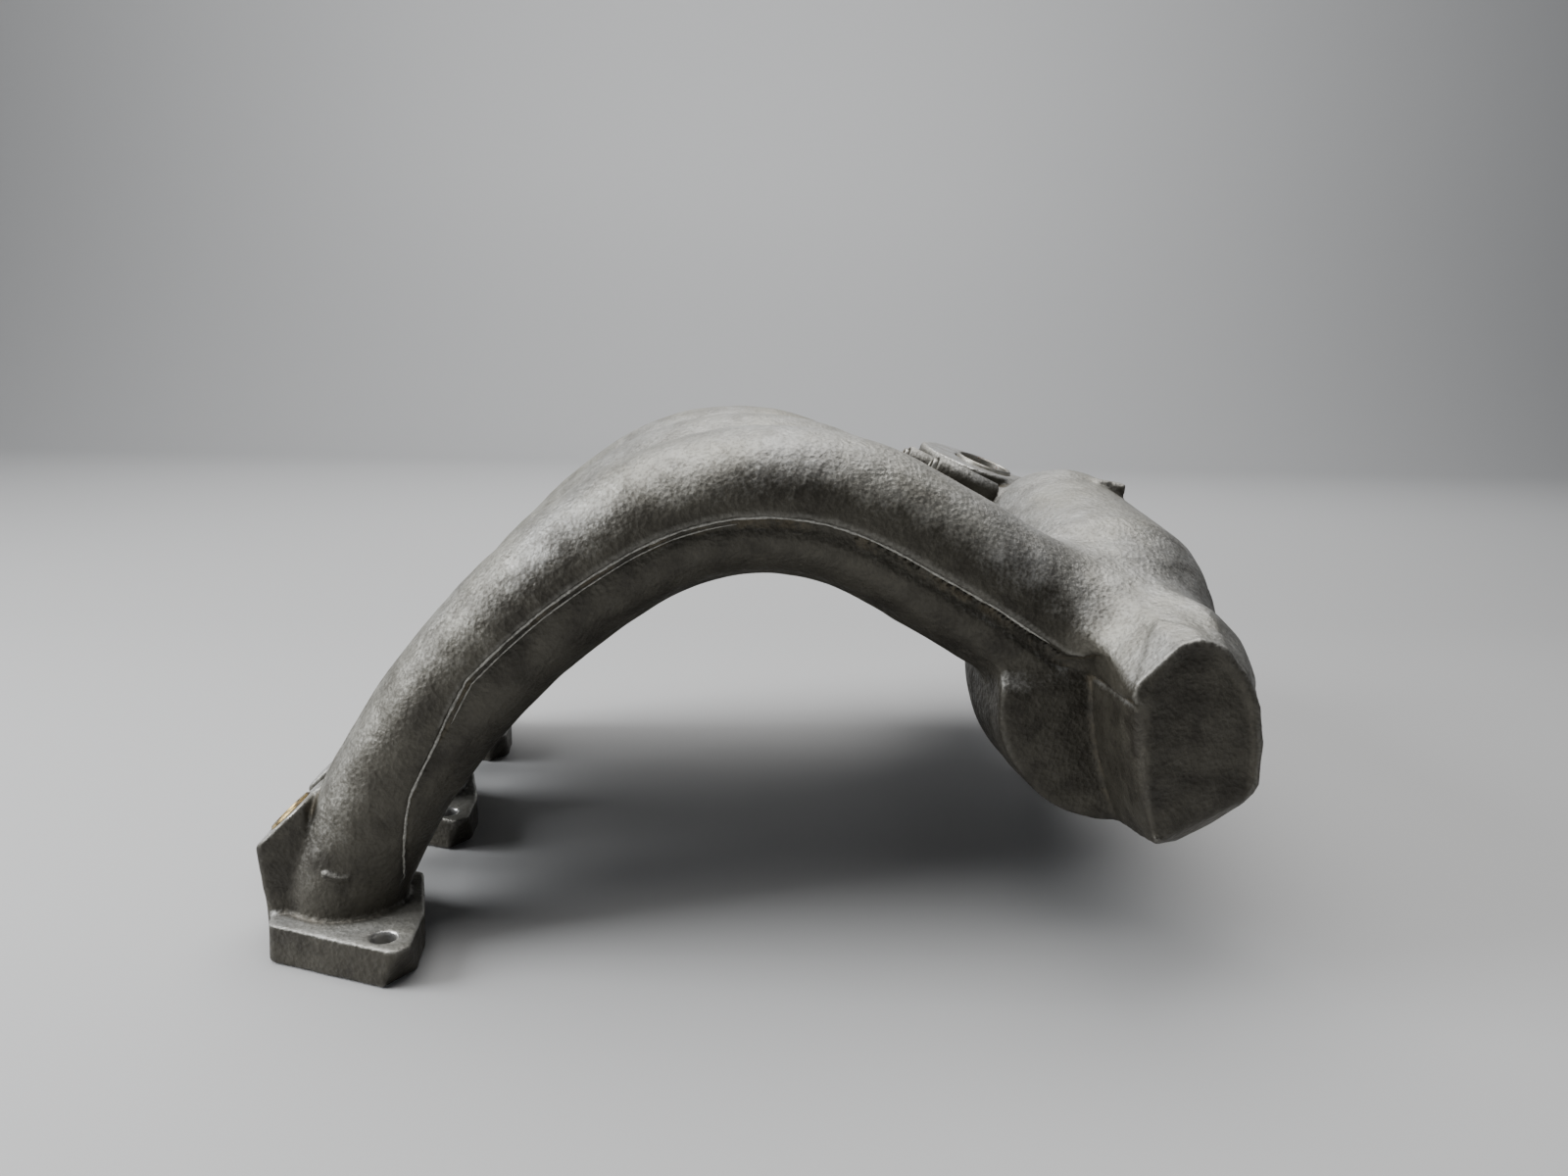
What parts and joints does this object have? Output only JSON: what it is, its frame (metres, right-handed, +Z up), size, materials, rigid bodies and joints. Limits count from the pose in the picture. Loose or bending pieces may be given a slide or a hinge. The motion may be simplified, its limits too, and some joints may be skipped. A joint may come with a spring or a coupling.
{
  "type": "intake manifold",
  "caption": "Sand-cast aluminium intake manifold: runners arch from separate head flanges over to a log plenum with a closed nose.",
  "frame": {"origin": "centre of the middle runner's port on the head face", "axes": "+X from the head flanges towards the plenum, +Y along the engine towards the throttle flange, +Z up from the head face"},
  "size_m": [0.3805, 0.388, 0.1927],
  "materials": {
    "cast_aluminium": "sand-cast, weathered and stained",
    "machined_aluminium": "milled, dulled by age",
    "steel": "zinc plated, dulled",
    "brass": "turned, tarnished"
  },
  "bodies": {
    "root": {"head_flange_1": "machined_aluminium", "head_flange_2": "machined_aluminium", "head_flange_3": "machined_aluminium", "runner_1": "cast_aluminium", "runner_2": "cast_aluminium", "runner_3": "cast_aluminium", "injector_boss_1": "cast_aluminium", "injector_boss_2": "cast_aluminium", "injector_boss_3": "cast_aluminium", "runner_web_1": "cast_aluminium", "runner_web_2": "cast_aluminium", "rail_boss_1": "cast_aluminium", "rail_boss_2": "cast_aluminium", "plenum_nose": "cast_aluminium", "plenum_near_chamber": "cast_aluminium", "plenum_dome": "cast_aluminium", "plenum_log": "cast_aluminium", "throttle_flange": "machined_aluminium", "auxiliary_air_port": "cast_aluminium", "vacuum_boss_front": "cast_aluminium", "vacuum_boss_rear": "cast_aluminium", "plenum_lug": "cast_aluminium", "stay_leg": "cast_aluminium", "injector_seat_bushes": "brass", "rail_thread_inserts": "steel", "throttle_studs": "steel", "air_port_sleeve": "steel", "vacuum_pipe_front": "steel", "vacuum_pipe_rear": "steel", "stay_thread_insert": "steel", "core_plug": "steel"}
  },
  "joints": []
}
